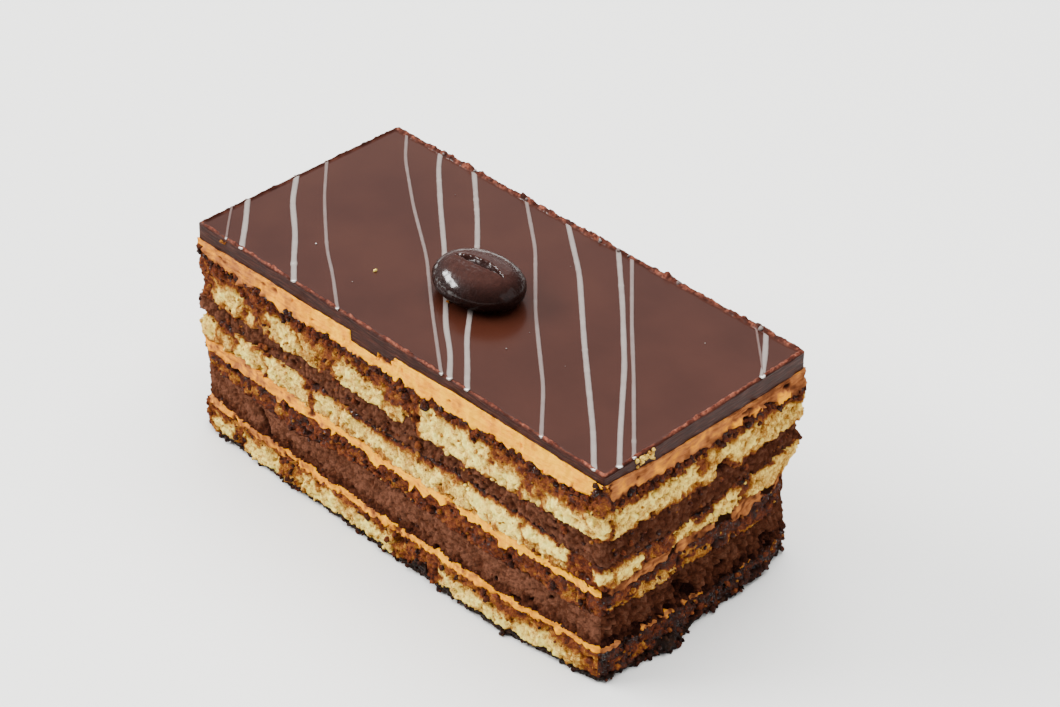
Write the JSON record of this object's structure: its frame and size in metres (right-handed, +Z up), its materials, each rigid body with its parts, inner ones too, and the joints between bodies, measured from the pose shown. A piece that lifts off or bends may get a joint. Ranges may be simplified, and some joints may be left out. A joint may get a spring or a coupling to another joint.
{
  "type": "opera cake slice",
  "caption": "Rectangular slice of layered coffee and chocolate cake with soaked sponge, buttercream and ganache layers, a glaze with white strands, and a chocolate coffee bean.",
  "frame": {"origin": "middle of the slice's box at the level of the surface that it stands on", "axes": "+X along the slice's long sides, +Y from the front long side to the back one, +Z up"},
  "size_m": [0.0834, 0.0422, 0.0405],
  "materials": {
    "dark_chocolate": "satin, brushed on thinly, crumbly at its edge",
    "sponge": "matte open crumb, partly soaked with coffee",
    "soaked_sponge": "moist open crumb, soaked through",
    "buttercream": "smooth satin, dragged by the knife",
    "ganache": "fine grained, matte",
    "glaze": "satin poured chocolate with matte cut sides",
    "white_chocolate": "satin",
    "bean_chocolate": "glossy"
  },
  "bodies": {
    "root": {"base_chocolate": "dark_chocolate", "sponge_bottom": "sponge", "buttercream_lower": "buttercream", "ganache_thick": "ganache", "sponge_soaked": "soaked_sponge", "buttercream_middle": "buttercream", "sponge_middle": "sponge", "ganache_upper": "ganache", "sponge_top": "sponge", "buttercream_top": "buttercream", "glaze": "glaze", "coffee_bean": "bean_chocolate"}
  },
  "joints": []
}
